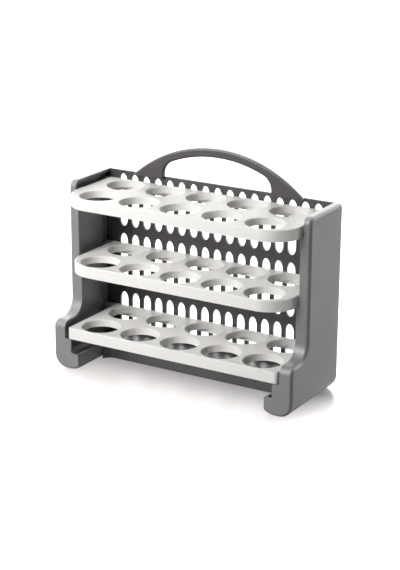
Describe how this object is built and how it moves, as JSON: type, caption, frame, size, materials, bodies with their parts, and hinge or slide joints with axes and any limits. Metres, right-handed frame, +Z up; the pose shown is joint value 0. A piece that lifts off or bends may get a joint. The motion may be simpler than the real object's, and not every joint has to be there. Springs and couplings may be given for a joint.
{
  "type": "egg storage rack",
  "caption": "Free-standing tiered egg rack with a carrying handle: holed trays between channel-shaped side walls, hinged at the rear so that each one tips up.",
  "frame": {"origin": "centre of the footprint, on the surface that the rubber foot pads stand on", "axes": "+X to the right seen from the front, +Y from the front to the back, +Z up"},
  "size_m": [0.292, 0.105, 0.2422],
  "materials": {
    "stand_grey": "satin",
    "tray_white": "satin",
    "steel": "satin",
    "rubber": "matte"
  },
  "bodies": {
    "stand": {"back_panel": "stand_grey", "base_shelf": "stand_grey", "bottom_left_pivot_pin": "steel", "bottom_right_pivot_pin": "steel", "centre_left_screw": "steel", "centre_right_screw": "steel", "front_left_foot_pad": "rubber", "front_right_foot_pad": "rubber", "left_side_wall": "stand_grey", "lower_left_screw": "steel", "lower_right_screw": "steel", "middle_left_pivot_pin": "steel", "middle_right_pivot_pin": "steel", "rear_left_foot_pad": "rubber", "rear_right_foot_pad": "rubber", "right_side_wall": "stand_grey", "top_left_pivot_pin": "steel", "top_right_pivot_pin": "steel", "upper_left_screw": "steel", "upper_right_screw": "steel"},
    "top_tray": {"top_egg_tray": "tray_white"},
    "middle_tray": {"middle_egg_tray": "tray_white"},
    "bottom_tray": {"bottom_egg_tray": "tray_white"}
  },
  "joints": [
    {"name": "top_tray_tilt", "type": "hinge", "parent": "stand", "child": "top_tray", "pos_m": [0, 0.0421, 0.1901], "axis": [-1, 0, 0], "range_deg": [0, 70]},
    {"name": "middle_tray_tilt", "type": "hinge", "parent": "stand", "child": "middle_tray", "pos_m": [0, 0.0421, 0.1169], "axis": [-1, 0, 0], "range_deg": [0, 38]},
    {"name": "bottom_tray_tilt", "type": "hinge", "parent": "stand", "child": "bottom_tray", "pos_m": [0, 0.0421, 0.0437], "axis": [-1, 0, 0], "range_deg": [0, 38]}
  ]
}
